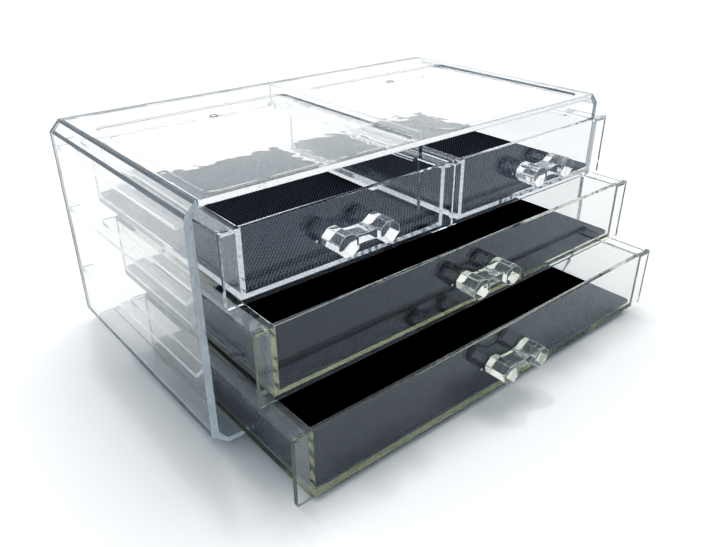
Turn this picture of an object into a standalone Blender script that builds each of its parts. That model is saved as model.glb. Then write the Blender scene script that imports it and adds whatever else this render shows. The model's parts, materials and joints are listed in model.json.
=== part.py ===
"""Clear plastic desk organizer: an open-fronted case with side rails and a centre divider,
two small drawers side by side over two full-width drawers, each hung by its flanges, with a
bonded dog-bone pull and a foam liner. Metres, Z up, drawers run along -Y and stand partly open."""
import math

import bmesh
import bpy
from mathutils import Matrix, Vector

MM = 0.001
GAP = 0.3                  # clearance between pieces that touch or are bonded

# case, in millimetres
WIDTH, DEPTH, HEIGHT = 238.0, 130.5, 104.4
FRONT, BACK = -DEPTH / 2, DEPTH / 2
SIDE_WALL = 3.3
BACK_WALL = 2.5
CHAMFER_TOP = (5.0, 5.2)    # across, down
HEAD_LEDGE = 0.8            # level strip of a side panel's head, beside the top plate
CHAMFER_LOW = (7.0, 6.0)
FOOT_INNER = 104.5          # inner edge of the foot that each side panel turns in to
TOP_PLATE = 2.6
FLOOR_PLATE = 2.2
RECESS_DROP = 1.0
RECESS_X = (8.0, 107.5)     # each recess, mirrored about the middle rib
RECESS_Y = (FRONT + 3.8, 40.0)
RECESS_RADIUS = 5.0
RAIL = 2.0                  # ledges that the drawer flanges slide on
RAIL_DROP = 0.3             # rail top below the flange
RAIL_INNER = 110.2
RAIL_SETBACK = 10.0         # behind the case's front edge
RAIL_NOSE = (4.0, 2.6)      # corner taken off the front inner end, across and back
DIVIDER = 2.0
DIVIDER_RAIL = 3.4          # reach of the divider's own ledges from the middle
DIVIDER_FOOT = 66.2

# drawers, in millimetres
WALL = 2.2
PANEL = 2.3
DRAWER_LENGTH = 127.5
PANEL_HALF = 111.85
BOX_HALF = 105.5
FLANGE_HALF = 111.6
FLANGE = 1.4
FLANGE_DROP = 0.8           # flange top below the panel top
INNER_PANEL, INNER_FLANGE, INNER_BOX = 0.6, 1.4, 4.9   # sides next to the divider
LINER = 2.0
# name: (left panel edge, right panel edge, panel bottom, panel top, pull-out at rest)
DRAWERS = {
    "top_left": (-PANEL_HALF, -INNER_PANEL, 66.2, 95.6, 10.8),
    "top_right": (INNER_PANEL, PANEL_HALF, 66.2, 95.6, 10.8),
    "middle": (-PANEL_HALF, PANEL_HALF, 34.6, 65.4, 28.5),
    "bottom": (-PANEL_HALF, PANEL_HALF, 2.5, 33.0, 48.0),
}
UNDERSIDE = {"top_left": 67.5, "top_right": 67.5, "middle": 35.8, "bottom": 2.5}
LEVELS = {"low": "bottom", "mid": "middle", "top": "top_left"}   # rail: drawer it carries

# dog-bone pull, in millimetres
LOBE_CENTRE = 10.0
LOBE_HALF = (4.8, 4.4)      # across, up
LOBE_FLAT = 1.7             # half length of the lobe's level and upright flats
BAR_END = 5.0               # where the bar meets the lobes, from the middle
BAR_HALF = (2.1, 1.75)      # at its ends, in the middle
PULL_REACH = 10.5
BAR_SETBACK = 2.2           # the bar's front face, behind the lobes' front faces


def clear_scene():
    for item in list(bpy.data.objects):
        bpy.data.objects.remove(item, do_unlink=True)


def collection(name, hidden=False):
    made = bpy.data.collections.new(name)
    bpy.context.scene.collection.children.link(made)
    made.hide_render = hidden
    return made


def material(name, colour, roughness, transmission=0.0, ior=1.5):
    made = bpy.data.materials.new(name)
    made.use_nodes = True
    shader = made.node_tree.nodes["Principled BSDF"]
    shader.inputs["Base Color"].default_value = (*colour, 1.0)
    shader.inputs["Roughness"].default_value = roughness
    shader.inputs["Transmission Weight"].default_value = transmission
    shader.inputs["IOR"].default_value = ior
    return made


def add(name, data, home, skin=None):
    item = bpy.data.objects.new(name, data)
    home.objects.link(item)
    if skin is not None:
        data.materials.append(skin)
    if home is CUTTERS:
        item.hide_render = True
        item.display_type = "WIRE"
    return item


def box(name, low, high, home, skin=None):
    """A block between two corners given in millimetres."""
    low, high = Vector(low) * MM, Vector(high) * MM
    shape = bmesh.new()
    bmesh.ops.create_cube(shape, size=1.0)
    bmesh.ops.scale(shape, vec=high - low, verts=shape.verts)
    mesh = bpy.data.meshes.new(name)
    shape.to_mesh(mesh)
    shape.free()
    item = add(name, mesh, home, skin)
    item.location = (low + high) / 2
    return item


def plate(name, outline, thickness, skin):
    """A flat outline of (u, v) points in millimetres, filled and given a thickness."""
    curve = bpy.data.curves.new(name, "CURVE")
    curve.dimensions = "2D"
    curve.fill_mode = "BOTH"
    curve.extrude = thickness / 2 * MM
    spline = curve.splines.new("POLY")
    spline.points.add(len(outline) - 1)
    for point, (u, v) in zip(spline.points, outline):
        point.co = (u * MM, v * MM, 0.0, 1.0)
    spline.use_cyclic_u = True
    return add(name, curve, ORGANIZER, skin)


def prism(name, outline, start, end, skin):
    """An outline of (x, z) points standing upright, from start to end along Y."""
    item = plate(name, outline, end - start, skin)
    item.rotation_euler.x = math.pi / 2
    item.location.y = (start + end) / 2 * MM
    return item


def slab(name, outline, low, high, skin):
    """An outline of (x, y) points lying flat, from low to high."""
    item = plate(name, outline, high - low, skin)
    item.location.z = (low + high) / 2 * MM
    return item


def round_upright(item, radius, segments, behind=None):
    """Bevels a box's upright edges, or only those behind a depth in millimetres."""
    shape = bmesh.new()
    shape.from_mesh(item.data)
    edges = []
    for edge in shape.edges:
        a, b = (v.co + item.location for v in edge.verts)
        upright = abs(a.x - b.x) + abs(a.y - b.y) < 1e-7
        if upright and (behind is None or a.y / MM > behind):
            edges.append(edge)
    bmesh.ops.bevel(shape, geom=edges, offset=radius * MM, segments=segments,
                    profile=0.5, affect="EDGES")
    shape.to_mesh(item.data)
    shape.free()


def boolean(item, other, operation):
    step = item.modifiers.new(other.name, "BOOLEAN")
    step.solver = "EXACT"
    step.operation = operation
    step.object = other


def cut(item, other):
    boolean(item, other, "DIFFERENCE")


def join(item, other):
    boolean(item, other, "UNION")


def flange_under(drawer):
    """Height of the underside of a drawer's flanges."""
    return DRAWERS[drawer][3] - FLANGE_DROP - FLANGE


def build_case():
    depth = (FRONT, BACK - BACK_WALL - GAP)
    top_across, top_down = CHAMFER_TOP
    low_across, low_up = CHAMFER_LOW
    half = WIDTH / 2

    # back panel carries the whole eight-sided outline
    outline = [(-half + low_across, 0), (half - low_across, 0), (half, low_up),
               (half, HEIGHT - top_down), (half - top_across, HEIGHT),
               (-half + top_across, HEIGHT), (-half, HEIGHT - top_down), (-half, low_up)]
    prism("case_back", outline, BACK - BACK_WALL, BACK, CLEAR)

    # side panels: an upright wall turned in at the head, and at the foot under the drawers
    inner = half - SIDE_WALL
    for side, sign in (("left", -1), ("right", 1)):
        seam = half - top_across - HEAD_LEDGE
        profile = [(half - low_across, 0), (half, low_up), (half, HEIGHT - top_down),
                   (half - top_across, HEIGHT), (seam, HEIGHT), (seam, HEIGHT - TOP_PLATE),
                   (inner, HEIGHT - top_down - 0.9), (inner, low_up + 1.1),
                   (half - low_across, FLOOR_PLATE), (FOOT_INNER, FLOOR_PLATE), (FOOT_INNER, 0)]
        prism(f"case_{side}", [(sign * x, z) for x, z in profile], *depth, CLEAR)
        for level, drawer in LEVELS.items():
            top = flange_under(drawer) - RAIL_DROP
            outline = [(inner - GAP, depth[1]), (RAIL_INNER, depth[1]),
                       (RAIL_INNER, FRONT + RAIL_SETBACK + RAIL_NOSE[1]),
                       (RAIL_INNER + RAIL_NOSE[0], FRONT + RAIL_SETBACK),
                       (inner - GAP, FRONT + RAIL_SETBACK)]
            slab(f"rail_{side}_{level}", [(sign * x, y) for x, y in outline],
                 top - RAIL, top, CLEAR)

    # top plate with two shallow trays sunk in it
    edge = half - top_across - HEAD_LEDGE - GAP
    top = box("case_top", (-edge, depth[0], HEIGHT - TOP_PLATE), (edge, depth[1], HEIGHT),
              ORGANIZER, CLEAR)
    for side, sign in (("left", -1), ("right", 1)):
        x0, x1 = sorted((sign * RECESS_X[0], sign * RECESS_X[1]))
        y0, y1 = RECESS_Y
        well = box(f"tray_{side}_well", (x0, y0, HEIGHT - RECESS_DROP), (x1, y1, HEIGHT + 2),
                   CUTTERS)
        round_upright(well, RECESS_RADIUS, 4)
        cut(top, well)

    edge = FOOT_INNER - GAP
    box("case_bottom", (-edge, depth[0], 0), (edge, depth[1], FLOOR_PLATE), ORGANIZER, CLEAR)

    # divider hung from the top plate, with a ledge on each side for the inner flanges
    ledge = flange_under("top_left") - RAIL_DROP
    half, reach, head = DIVIDER / 2, DIVIDER_RAIL, HEIGHT - TOP_PLATE - GAP
    side = [(half, DIVIDER_FOOT), (half, ledge - RAIL), (reach, ledge - RAIL), (reach, ledge),
            (half, ledge), (half, head)]
    outline = side + [(-x, z) for x, z in reversed(side)]
    prism("centre_divider", outline, FRONT + RAIL_SETBACK, depth[1], CLEAR)


def build_drawer(name, left, right, low, high, out):
    """One drawer: tray with its front panel and flanges, pull, liner, all on a slide empty."""
    front = FRONT - out
    back = front + DRAWER_LENGTH
    base = UNDERSIDE[name]
    outer_box = {-1: BOX_HALF, 1: BOX_HALF}
    outer_flange = {-1: FLANGE_HALF, 1: FLANGE_HALF}
    if name == "top_left":
        outer_box[1], outer_flange[1] = -INNER_BOX, -INNER_FLANGE
    if name == "top_right":
        outer_box[-1], outer_flange[-1] = -INNER_BOX, -INNER_FLANGE
    x0, x1 = -outer_box[-1], outer_box[1]
    f0, f1 = -outer_flange[-1], outer_flange[1]
    flange_top = high - FLANGE_DROP

    tray = box(f"{name}_tray", (left, front, low), (right, front + PANEL, high),
               ORGANIZER, TRAY_CLEAR)
    shell = box(f"{name}_shell", (x0, front + PANEL - 0.6, base), (x1, back, flange_top - 0.4),
                CUTTERS)
    round_upright(shell, 3.0, 3, behind=back - 1)
    rim = box(f"{name}_rim", (f0, front + PANEL - 0.7, flange_top - FLANGE),
              (f1, back - 0.5, flange_top), CUTTERS)
    round_upright(rim, 2.0, 2, behind=back - 2)
    hollow = box(f"{name}_hollow", (x0 + WALL, front + PANEL, base + WALL - 0.2),
                 (x1 - WALL, back - WALL, high + 4), CUTTERS)
    round_upright(hollow, 1.8, 2, behind=back - 4)
    join(tray, shell)
    join(tray, rim)
    cut(tray, hollow)

    liner = box(f"{name}_liner", (x0 + WALL + GAP, front + PANEL + GAP, base + WALL - 0.2 + GAP),
                (x1 - WALL - GAP, back - WALL - GAP, base + WALL - 0.2 + GAP + LINER),
                ORGANIZER, FOAM)
    round_upright(liner, 1.8, 2, behind=back - 4)

    pull = dog_bone(f"{name}_pull", (left + right) / 2, (low + high) / 2, front - GAP)

    slide = bpy.data.objects.new(f"{name}_slide", None)
    slide.location = Vector(((left + right) / 2, front, base)) * MM
    slide.empty_display_size = 0.01
    ORGANIZER.objects.link(slide)
    for piece in (tray, liner, pull):
        piece.parent = slide
        piece.matrix_parent_inverse = Matrix.Translation(-slide.location)


def dog_bone(name, cx, cz, back):
    """Two eight-sided lobes joined by a thin waisted bar, standing straight out of the panel.
    The bar stops short of the lobes' front faces."""
    c, (h, v), f = LOBE_CENTRE, LOBE_HALF, LOBE_FLAT
    quarter = [(c + h, f * 0.9), (c + f, v), (c - f, v)]
    steps = 4
    for i in range(steps + 1):
        x = BAR_END * (1 - i / steps)
        quarter.append((x, BAR_HALF[1] + (BAR_HALF[0] - BAR_HALF[1]) * (x / BAR_END) ** 2))
    upper = quarter + [(-x, z) for x, z in reversed(quarter[:-1])]
    outline = upper + [(x, -z) for x, z in reversed(upper)]
    shape = bmesh.new()
    rim = [shape.verts.new((x * MM, -PULL_REACH * MM, z * MM)) for x, z in outline]
    grown = bmesh.ops.extrude_face_region(shape, geom=[shape.faces.new(rim)])["geom"]
    bmesh.ops.translate(shape, vec=(0, PULL_REACH * MM, 0),
                        verts=[part for part in grown if isinstance(part, bmesh.types.BMVert)])
    bmesh.ops.recalc_face_normals(shape, faces=shape.faces)
    mesh = bpy.data.meshes.new(name)
    shape.to_mesh(mesh)
    shape.free()
    item = add(name, mesh, ORGANIZER, PULL_CLEAR)
    item.location = Vector((cx, back, cz)) * MM
    across = BAR_END + 0.4
    front = back - PULL_REACH
    notch = box(f"{name}_notch", (cx - across, front - 1, cz - v),
                (cx + across, front + BAR_SETBACK, cz + v), CUTTERS)
    cut(item, notch)
    return item


clear_scene()
ORGANIZER = collection("desk_organizer")
CUTTERS = collection("cutters", hidden=True)
CLEAR = material("clear_case_plastic", (0.93, 0.96, 0.97), 0.03, 1.0, 1.5)
TRAY_CLEAR = material("clear_drawer_plastic", (0.93, 0.95, 0.92), 0.03, 1.0, 1.5)
PULL_CLEAR = material("clear_pull_plastic", (0.95, 0.97, 0.95), 0.02, 1.0, 1.5)
FOAM = material("black_foam_liner", (0.015, 0.016, 0.018), 0.9)

build_case()
for drawer, values in DRAWERS.items():
    build_drawer(drawer, *values)
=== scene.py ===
import math

import bmesh
import bpy
from mathutils import Matrix, Vector, noise
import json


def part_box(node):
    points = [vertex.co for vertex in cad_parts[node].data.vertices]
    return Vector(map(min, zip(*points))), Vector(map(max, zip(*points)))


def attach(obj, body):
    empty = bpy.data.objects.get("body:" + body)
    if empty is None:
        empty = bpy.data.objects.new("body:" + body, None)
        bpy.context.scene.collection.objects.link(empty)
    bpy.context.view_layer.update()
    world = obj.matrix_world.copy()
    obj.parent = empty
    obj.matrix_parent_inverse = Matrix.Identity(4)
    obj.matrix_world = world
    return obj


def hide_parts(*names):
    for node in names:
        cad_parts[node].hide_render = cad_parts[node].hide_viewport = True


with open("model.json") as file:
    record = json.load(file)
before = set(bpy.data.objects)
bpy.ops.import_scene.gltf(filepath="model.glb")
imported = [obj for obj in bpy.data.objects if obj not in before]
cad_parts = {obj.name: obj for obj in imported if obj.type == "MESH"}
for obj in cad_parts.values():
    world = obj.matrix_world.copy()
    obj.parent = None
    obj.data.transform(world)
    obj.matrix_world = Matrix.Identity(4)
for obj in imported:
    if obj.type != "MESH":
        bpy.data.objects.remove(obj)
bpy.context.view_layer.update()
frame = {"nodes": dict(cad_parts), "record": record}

MM = 0.001
DRAWERS = ("top_left", "top_right", "middle", "bottom")
CASE_NODES = frame["record"]["behaviour"]["bodies"]["case"]
nodes = frame["nodes"]


# ---------------------------------------------------------------- node helpers

def node(tree, kind, **values):
    """A new node with its properties and sockets set; a socket's spaces are underscores."""
    made = tree.nodes.new(kind)
    for key, value in values.items():
        if hasattr(made, key):
            setattr(made, key, value)
        else:
            made.inputs[key.replace("_", " ")].default_value = value
    return made


def ranged(tree, value, source, target=(0.0, 1.0), **kinds):
    """A value mapped from the source range to the target range."""
    made = node(tree, "ShaderNodeMapRange", From_Min=source[0], From_Max=source[1],
                To_Min=target[0], To_Max=target[1], **kinds)
    tree.links.new(value, made.inputs["Value"])
    return made.outputs["Result"]


def math_node(tree, operation, *values):
    """A math node; each value is a number or another node's output."""
    made = node(tree, "ShaderNodeMath", operation=operation)
    for value, socket in zip(values, made.inputs):
        if isinstance(value, (int, float)):
            socket.default_value = value
        else:
            tree.links.new(value, socket)
    return made.outputs[0]


def colour_mix(tree, factor, plain, mixed_in):
    """Two colours mixed by a factor."""
    made = node(tree, "ShaderNodeMix", data_type="RGBA")
    for colour, socket in ((plain, "A"), (mixed_in, "B")):
        if isinstance(colour, tuple):
            made.inputs[socket].default_value = (*colour, 1)
        else:
            tree.links.new(colour, made.inputs[socket])
    tree.links.new(factor, made.inputs["Factor"])
    return made.outputs["Result"]


def two_colour_ramp(tree, value, low, high):
    """A colour ramp from one colour at 0 to another at 1."""
    ramp = node(tree, "ShaderNodeValToRGB")
    for element, colour in zip(ramp.color_ramp.elements, (low, high)):
        element.color = (*colour, 1)
    tree.links.new(value, ramp.inputs["Fac"])
    return ramp.outputs["Color"]


def new_material(name):
    """A material with its tree, its shader and its texture coordinates."""
    mat = bpy.data.materials.new(name)
    mat.use_nodes = True
    tree = mat.node_tree
    return mat, tree, tree.nodes["Principled BSDF"], node(tree, "ShaderNodeTexCoord")


# ---------------------------------------------------------------- clear plastic

IOR = 1.5
COLOURLESS = (0.995, 0.995, 0.995)


def wipe_marks(tree, place, rough):
    """Roughness with the faint cloudiness that wiping leaves."""
    wipes = node(tree, "ShaderNodeTexNoise", Scale=60.0, Detail=3.0, Roughness=0.6)
    tree.links.new(place.outputs["Object"], wipes.inputs["Vector"])
    return ranged(tree, wipes.outputs["Fac"], (0.35, 0.75), (rough * 0.5, rough * 1.6))


def painted_edge_mask(tree, radius, turn):
    """1 where the surface turns within the radius in millimetres, 0 where it is flat: the mask
    of the painted shade lines along the edges. The turn gives the agreement of the rounded
    and true normals where the line starts and where it is full."""
    rounded = node(tree, "ShaderNodeBevel", Radius=radius * MM)
    rounded.samples = 4
    flat = node(tree, "ShaderNodeNewGeometry")
    same = node(tree, "ShaderNodeVectorMath", operation="DOT_PRODUCT")
    tree.links.new(rounded.outputs["Normal"], same.inputs[0])
    tree.links.new(flat.outputs["True Normal"], same.inputs[1])
    return ranged(tree, same.outputs["Value"], turn)


def flow_waves(tree, place, size, height, strength):
    """Gentle waves left by the plastic's flow in the mould, in millimetres."""
    flow = node(tree, "ShaderNodeTexNoise", Scale=1 / (size * MM), Detail=1.5)
    bump = node(tree, "ShaderNodeBump", Distance=height * MM)
    tree.links.new(strength, bump.inputs["Strength"])
    tree.links.new(place.outputs["Object"], flow.inputs["Vector"])
    tree.links.new(flow.outputs["Fac"], bump.inputs["Height"])
    return bump.outputs["Normal"]


def shadow_light(tree, passes, shade):
    """What a wall lets through to its shadow: less where it stands along the light."""
    slant = node(tree, "ShaderNodeLayerWeight", Blend=0.5)
    held = ranged(tree, slant.outputs["Facing"], (0.62, 1.0), (passes, passes * shade))
    lets = node(tree, "ShaderNodeBsdfTransparent")
    tree.links.new(held, lets.inputs["Color"])
    return lets.outputs["BSDF"]


def clear_plastic(name, absorb, density, flow, rough=0.012, clear=0.96, waves_until=2.5,
                  blurred=0.03, painted_edge_tone=0.38, edge_radius=0.18, edge_turn=(0.99, 0.92),
                  painted_rim_highlight=0.0, passes=0.945, shade=0.45, painted_see_through_tint=None):
    """Clear moulded plastic, with a tint that grows with the light's path inside it.

    absorb, density: the colour and strength of that tint
    flow: size and height of the flow waves, in millimetres
    clear: share of the light that the first walls don't scatter
    waves_until: number of walls along a sight line that show waves, haze and edge lines
    blurred: roughness for longer paths, such as those along the inside of a wall
    painted_edge_tone, edge_radius, edge_turn: grey, width and start of the lines painted along
    edges;
    a dark grey is painted shade along the edges
    rim: share of an edge line's light that scatters from its grey instead of passing through;
    on the pulls it makes a near white painted highlight along the edges
    passes, shade: light let through to a shadow, and its share where the wall is edge-on
    painted_see_through_tint: colour painted at the back of a piece, taken from the panel it is
    bonded to:
    a painted tint for that panel's light seen through the bond
    """
    mat, tree, shader, place = new_material(name)
    shader.inputs["IOR"].default_value = IOR

    path = node(tree, "ShaderNodeLightPath")
    near = math_node(tree, "LESS_THAN", path.outputs["Ray Depth"], waves_until)
    roughness = node(tree, "ShaderNodeMix", A=blurred)
    tree.links.new(near, roughness.inputs["Factor"])
    tree.links.new(wipe_marks(tree, place, rough), roughness.inputs["B"])
    tree.links.new(roughness.outputs["Result"], shader.inputs["Roughness"])

    plain = COLOURLESS
    # painted tint: the back of the piece takes the bonded panel's colour, for that panel's
    # light seen through the bond
    if painted_see_through_tint:
        split = node(tree, "ShaderNodeSeparateXYZ")
        tree.links.new(place.outputs["Generated"], split.inputs["Vector"])
        behind = ranged(tree, split.outputs["Y"], (0.75, 1.0), interpolation_type="SMOOTHSTEP")
        plain = colour_mix(tree, behind, COLOURLESS, painted_see_through_tint)
    # painted shade: the edge lines darken the colour along the edges; the pulls' near white
    # lines are a painted highlight
    line = math_node(tree, "MULTIPLY", painted_edge_mask(tree, edge_radius, edge_turn), near)
    colour = colour_mix(tree, line, plain, (painted_edge_tone, painted_edge_tone, painted_edge_tone))
    tree.links.new(colour, shader.inputs["Base Color"])
    haze = ranged(tree, near, (0.0, 1.0), (1.0, clear))
    # with rim set, the edge lines scatter their grey instead of letting light through: the
    # pulls' painted highlight
    clarity = math_node(tree, "MULTIPLY_ADD", line, -painted_rim_highlight, haze)
    tree.links.new(clarity, shader.inputs["Transmission Weight"])
    tree.links.new(flow_waves(tree, place, *flow, near), shader.inputs["Normal"])

    out = tree.nodes["Material Output"]
    mix = node(tree, "ShaderNodeMixShader")
    tree.links.new(path.outputs["Is Shadow Ray"], mix.inputs["Fac"])
    tree.links.new(shader.outputs["BSDF"], mix.inputs[1])
    tree.links.new(shadow_light(tree, passes, shade), mix.inputs[2])
    tree.links.new(mix.outputs["Shader"], out.inputs["Surface"])
    volume = node(tree, "ShaderNodeVolumeAbsorption", Color=(*absorb, 1), Density=density)
    tree.links.new(volume.outputs["Volume"], out.inputs["Volume"])
    return mat


# ---------------------------------------------------------------- foam with a mesh face

def mesh_foam(name, pitch, thread, base):
    """Black foam faced with a fine diagonal mesh: small raised threads over darker holes.
    The pitch is the distance between threads, in millimetres."""
    mat, tree, shader, place = new_material(name)
    turned = node(tree, "ShaderNodeMapping")
    turned.inputs["Rotation"].default_value = (0, 0, math.radians(45))
    scale = math.tau / (pitch * MM)
    turned.inputs["Scale"].default_value = (scale, scale, scale)
    tree.links.new(place.outputs["Object"], turned.inputs["Vector"])
    split = node(tree, "ShaderNodeSeparateXYZ")
    tree.links.new(turned.outputs["Vector"], split.inputs["Vector"])
    waves = [math_node(tree, "SINE", split.outputs[axis]) for axis in "XY"]
    threads = math_node(tree, "MAXIMUM", *waves)
    grain = node(tree, "ShaderNodeTexNoise", Scale=700.0, Detail=2.0)
    tree.links.new(place.outputs["Object"], grain.inputs["Vector"])
    height = math_node(tree, "MULTIPLY_ADD", grain.outputs["Fac"], 0.5, threads)
    bump = node(tree, "ShaderNodeBump", Strength=0.6, Distance=0.3 * MM)
    tree.links.new(height, bump.inputs["Height"])
    tree.links.new(bump.outputs["Normal"], shader.inputs["Normal"])
    lift = ranged(tree, height, (0.35, 1.2))
    tree.links.new(two_colour_ramp(tree, lift, base, thread), shader.inputs["Base Color"])
    shader.inputs["Roughness"].default_value = 0.85
    shader.inputs["Specular IOR Level"].default_value = 0.0
    return mat


# painted_edge_tone: the grey of the lines painted along the edges; the dark values here are
# painted shade
CASE_MAT = clear_plastic("case_clear", (0.27, 0.32, 0.36), 9.0, (40.0, 0.02), clear=0.98,
                         blurred=0.05, painted_edge_tone=0.2)
# a copy of the case plastic that absorbs more, so the divider's front edge, lit by light
# running along the divider, reads dark: painted shade
SHADED_DIVIDER_MAT = clear_plastic("divider_clear", (0.27, 0.32, 0.36), 30.0, (40.0, 0.02),
                            clear=0.98, blurred=0.05)
# the top's edge lines: near black painted shade, wider, starting at slighter turns
TOP_PLATE_MAT = clear_plastic("top_plate_clear", (0.40, 0.45, 0.48), 1.3, (14.0, 0.14),
                              rough=0.006, clear=0.97, painted_edge_tone=0.06, edge_radius=0.5,
                              edge_turn=(0.9998, 0.985))
TOP_MAT = clear_plastic("tray_clear", (0.28, 0.32, 0.38), 5.0, (30.0, 0.02), rough=0.004,
                        clear=0.985, waves_until=1.5)
LOW_MAT = clear_plastic("tray_clear_green", (0.36, 0.375, 0.117), 12.0, (30.0, 0.02))
# the pulls' near white edge lines, scattered by rim, are a painted highlight along their edges
PULL = {"flow": (9.0, 0.01), "rough": 0.006, "clear": 0.985, "blurred": 0.008,
        "painted_edge_tone": 0.98, "edge_radius": 0.4, "painted_rim_highlight": 0.97, "passes": 0.7, "shade": 0.1}
PULL_MAT = clear_plastic("pull_clear", (0.28, 0.32, 0.38), 5.0, **PULL)
# the low pulls' painted_see_through_tint paints the green panel's light, seen through the bond,
# into their backs
LOW_PULL_MAT = clear_plastic("pull_clear_green", (0.30, 0.33, 0.30), 8.0,
                             painted_see_through_tint=(0.88, 0.92, 0.70), **PULL)
FOAM_MAT = mesh_foam("mesh_foam", 1.21, (0.125, 0.132, 0.145), (0.003, 0.003, 0.004))
# a copy of the foam with far darker threads for the lower drawers: painted shade for the shade
# the drawers above throw on them
SHADED_FOAM_MAT = mesh_foam("mesh_foam_painted_shade", 1.21, (0.010, 0.010, 0.012), (0.002, 0.002, 0.002))

# ---------------------------------------------------------------- the CAD nodes


def dress(name, mat, width, segments=2):
    """Puts a material and moulded edges, of a width in millimetres, on a CAD node."""
    item = nodes[name]
    item.data.materials.clear()
    item.data.materials.append(mat)
    edge = item.modifiers.new("polished_edges", "BEVEL")
    edge.width = width * MM
    edge.segments = segments
    edge.limit_method = "ANGLE"
    edge.angle_limit = math.radians(60)
    edge.use_clamp_overlap = True


for name in CASE_NODES:
    if name == "case_top":
        dress(name, TOP_PLATE_MAT, 0.42, 4)
    elif name == "centre_divider":
        dress(name, SHADED_DIVIDER_MAT, 0.25)
    else:
        dress(name, CASE_MAT, 0.25)
for drawer in DRAWERS:
    upper = drawer.startswith("top")
    dress(f"{drawer}_tray", TOP_MAT if upper else LOW_MAT, 0.2)
    dress(f"{drawer}_pull", PULL_MAT if upper else LOW_PULL_MAT, 0.6, 1)

# ---------------------------------------------------------------- foam liners

CORNER = 1.6 * MM           # radius of a pad's upright corners
ROLL = 0.7 * MM             # radius of its rims
CELL = 5 * MM               # size of the grid that its face is cut into
SETTLE = 0.12 * MM          # mean depth that its face sinks by


def foam_pad(drawer, mat):
    """The liner as a soft sheet: rolled edges, a surface that isn't quite flat."""
    low, high = (Vector(corner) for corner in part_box(f"{drawer}_liner"))
    middle = (low + high) / 2
    shape = bmesh.new()
    bmesh.ops.create_cube(shape, size=1.0)
    bmesh.ops.scale(shape, vec=high - low, verts=shape.verts)
    bmesh.ops.translate(shape, vec=middle, verts=shape.verts)
    upright = [e for e in shape.edges if abs(e.verts[0].co.z - e.verts[1].co.z) > 1e-6]
    bmesh.ops.bevel(shape, geom=upright, offset=CORNER, segments=4, profile=0.5,
                    affect="EDGES")
    rims = [e for e in shape.edges if abs(e.verts[0].co.z - e.verts[1].co.z) < 1e-6
            and any(abs(f.normal.z) > 0.9 for f in e.link_faces)]
    bmesh.ops.bevel(shape, geom=rims, offset=ROLL, segments=3, profile=0.5, affect="EDGES")
    for axis in (0, 1):
        normal = Vector((0, 0, 0))
        normal[axis] = 1
        for i in range(1, int((high[axis] - low[axis]) / CELL)):
            at = Vector((0, 0, 0))
            at[axis] = low[axis] + i * CELL
            bmesh.ops.bisect_plane(shape, geom=shape.verts[:] + shape.edges[:] + shape.faces[:],
                                   plane_co=at, plane_no=normal)
    for vert in shape.verts:
        if vert.co.z > middle.z + 0.5 * MM:
            vert.co.z -= SETTLE * (1 + noise.noise(vert.co * 45))
    mesh = bpy.data.meshes.new(f"{drawer}_foam_pad")
    shape.to_mesh(mesh)
    shape.free()
    mesh.shade_smooth()
    mesh.materials.append(mat)
    pad = bpy.data.objects.new(f"{drawer}_foam_pad", mesh)
    bpy.context.scene.collection.objects.link(pad)
    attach(pad, f"{drawer}_drawer")
    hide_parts(f"{drawer}_liner")


for drawer in DRAWERS:
    # the lower drawers' pads take the darker copy of the foam: painted shade
    foam_pad(drawer, FOAM_MAT if drawer.startswith("top") else SHADED_FOAM_MAT)

# ---------------------------------------------------------------- moulding marks


def turned_mark(name, profile, place, lean, mat, closed=False):
    """A small round mark: a profile (radius, height) in millimetres spun about its own axis."""
    shape = bmesh.new()
    ring = [shape.verts.new((r * MM, 0, h * MM)) for r, h in profile]
    edges = [shape.edges.new(pair) for pair in zip(ring, ring[1:])]
    if closed:
        edges.append(shape.edges.new((ring[-1], ring[0])))
    bmesh.ops.spin(shape, geom=ring + edges, cent=(0, 0, 0), axis=(0, 0, 1),
                   angle=math.tau, steps=20)
    bmesh.ops.remove_doubles(shape, verts=shape.verts, dist=0.01 * MM)
    bmesh.ops.recalc_face_normals(shape, faces=shape.faces)
    mesh = bpy.data.meshes.new(name)
    shape.to_mesh(mesh)
    shape.free()
    mesh.shade_smooth()
    mesh.materials.append(mat)
    mark = bpy.data.objects.new(name, mesh)
    bpy.context.scene.collection.objects.link(mark)
    mark.matrix_world = Matrix.Translation(place) @ Matrix.Rotation(lean, 4, "X")
    return mark


def frosted(name):
    """The whitened stub that a trimmed gate leaves."""
    mat, tree, shader, place = new_material(name)
    grain = node(tree, "ShaderNodeTexNoise", Scale=2500.0, Detail=2.0)
    tree.links.new(place.outputs["Object"], grain.inputs["Vector"])
    white = two_colour_ramp(tree, grain.outputs["Fac"], (0.62, 0.65, 0.68), (0.95, 0.97, 1.0))
    tree.links.new(white, shader.inputs["Base Color"])
    shader.inputs["Roughness"].default_value = 0.35
    return mat


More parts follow.
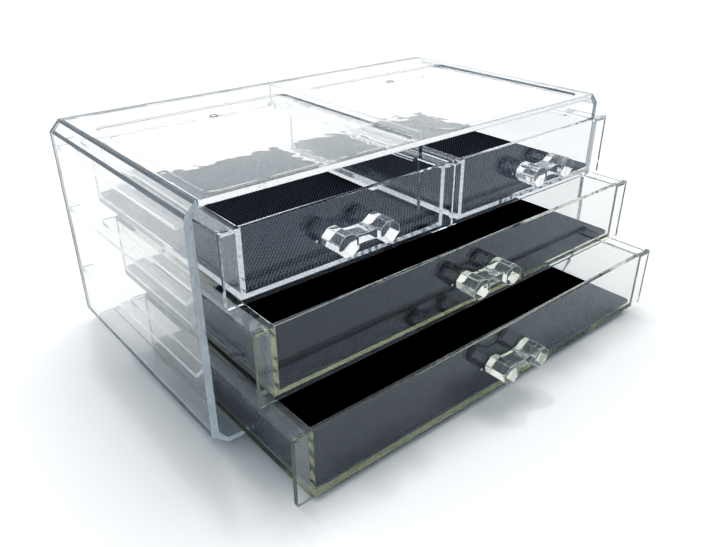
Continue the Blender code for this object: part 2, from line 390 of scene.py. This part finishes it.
GATE_MAT = frosted("frosted_gate")
STUB = ((0, 0.42), (0.32, 0.38), (0.52, 0.24), (0.62, 0.0), (0, 0.0))
STUB_LEFT = 16.7 * MM        # from a pull's middle to the gate stub beside it
RIDGE = ((1.75, 0.0), (1.85, 0.22), (2.05, 0.22), (2.15, 0.0))
RIDGE_AT = (55.5 * MM, 26.5 * MM)
TRAY_DEPTH = 1.0 * MM        # of the sunk trays in the top
for drawer in DRAWERS:
    low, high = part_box(f"{drawer}_pull")
    middle = (Vector(low) + Vector(high)) / 2
    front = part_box(f"{drawer}_tray")[0][1]
    spot = (middle.x - STUB_LEFT, front, middle.z)
    stub = turned_mark(f"{drawer}_gate_stub", STUB, spot, math.radians(90), GATE_MAT)
    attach(stub, f"{drawer}_drawer")
tray_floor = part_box("case_top")[1][2] - TRAY_DEPTH
for side, sign in (("left", -1), ("right", 1)):
    spot = (sign * RIDGE_AT[0], RIDGE_AT[1], tray_floor)
    ridge = turned_mark(f"{side}_pin_mark", RIDGE, spot, 0.0, TOP_PLATE_MAT, closed=True)
    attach(ridge, "case")

# ---------------------------------------------------------------- floor, light, camera

FLOOR_DROP = 0.4 * MM        # keeps the floor clear of the case's underside
bpy.ops.mesh.primitive_plane_add(size=6.0, location=(0, 0, -FLOOR_DROP))
floor = bpy.context.object
floor.name = "floor"
floor_mat = bpy.data.materials.new("paper_floor")
floor_mat.use_nodes = True
paper = floor_mat.node_tree.nodes["Principled BSDF"]
paper.inputs["Base Color"].default_value = (0.92, 0.925, 0.93, 1)
paper.inputs["Roughness"].default_value = 0.6
paper.inputs["Specular IOR Level"].default_value = 0.2
floor.data.materials.append(floor_mat)

# a studio sweep: bright behind and above the object, dimmer on the camera's side
world = bpy.data.worlds.new("studio")
bpy.context.scene.world = world
world.use_nodes = True
sky = world.node_tree
background = sky.nodes["Background"]
background.inputs["Color"].default_value = (0.96, 0.985, 1.0, 1)
heading = node(sky, "ShaderNodeTexCoord")
facing = node(sky, "ShaderNodeVectorMath", operation="DOT_PRODUCT")
facing.inputs[1].default_value = (0.22, 0.93, 0.30)
sky.links.new(heading.outputs["Generated"], facing.inputs[0])
glow = ranged(sky, facing.outputs["Value"], (-0.25, 0.65), (0.40, 1.25),
              interpolation_type="SMOOTHSTEP")
sky.links.new(glow, background.inputs["Strength"])


def distant(name, heading, spread, strength):
    """A distant source, spread in degrees, that shapes the shadows without glints."""
    data = bpy.data.lights.new(name, "SUN")
    data.energy = strength
    data.angle = math.radians(spread)
    lamp = bpy.data.objects.new(name, data)
    bpy.context.scene.collection.objects.link(lamp)
    lamp.rotation_euler = Vector(heading).to_track_quat("-Z", "Y").to_euler()
    lamp.visible_glossy = False
    lamp.visible_transmission = False


distant("key_panel", (-0.56, -0.30, -1.0), 32, 0.85)
distant("key_lamp", (-0.18, -0.47, -1.0), 5, 0.75)

CAMERA_AT = (-0.20738, -0.26172, 0.18948)
CAMERA_PAN = -39.89          # degrees, as are the next two
CAMERA_TILT = 61.94
CAMERA_LEAN = -0.08
camera_data = bpy.data.cameras.new("camera")
camera_data.lens = 34.35
camera_data.sensor_width = 36.0
camera_data.clip_start = 0.01
camera = bpy.data.objects.new("camera", camera_data)
bpy.context.scene.collection.objects.link(camera)
camera.matrix_world = (Matrix.Translation(CAMERA_AT)
                       @ Matrix.Rotation(math.radians(CAMERA_PAN), 4, "Z")
                       @ Matrix.Rotation(math.radians(CAMERA_TILT), 4, "X")
                       @ Matrix.Rotation(math.radians(CAMERA_LEAN), 4, "Z"))
bpy.context.scene.camera = camera

scene = bpy.context.scene
scene.view_settings.view_transform = "Standard"
scene.view_settings.use_curve_mapping = True
# a camera's contrast: deep, slightly cool shadows, and clean whites; one curve each for
# red, green and blue
BLACK = (0.004, 0.0)
TONES = (((0.06, 0.013), (0.12, 0.043), (0.30, 0.205), (0.62, 0.585)),
         ((0.06, 0.014), (0.12, 0.050), (0.30, 0.222), (0.62, 0.600)),
         ((0.06, 0.016), (0.12, 0.059), (0.30, 0.237), (0.62, 0.608)))
for curve, points in zip(scene.view_settings.curve_mapping.curves, TONES):
    curve.points[0].location = BLACK
    for x, y in points:
        curve.points.new(x, y)
scene.view_settings.curve_mapping.update()
BOUNCES = 160                # light runs far along the inside of a clear wall
scene.cycles.max_bounces = BOUNCES
scene.cycles.transmission_bounces = BOUNCES
scene.cycles.glossy_bounces = BOUNCES
scene.cycles.transparent_max_bounces = 40
scene.cycles.use_denoising = True
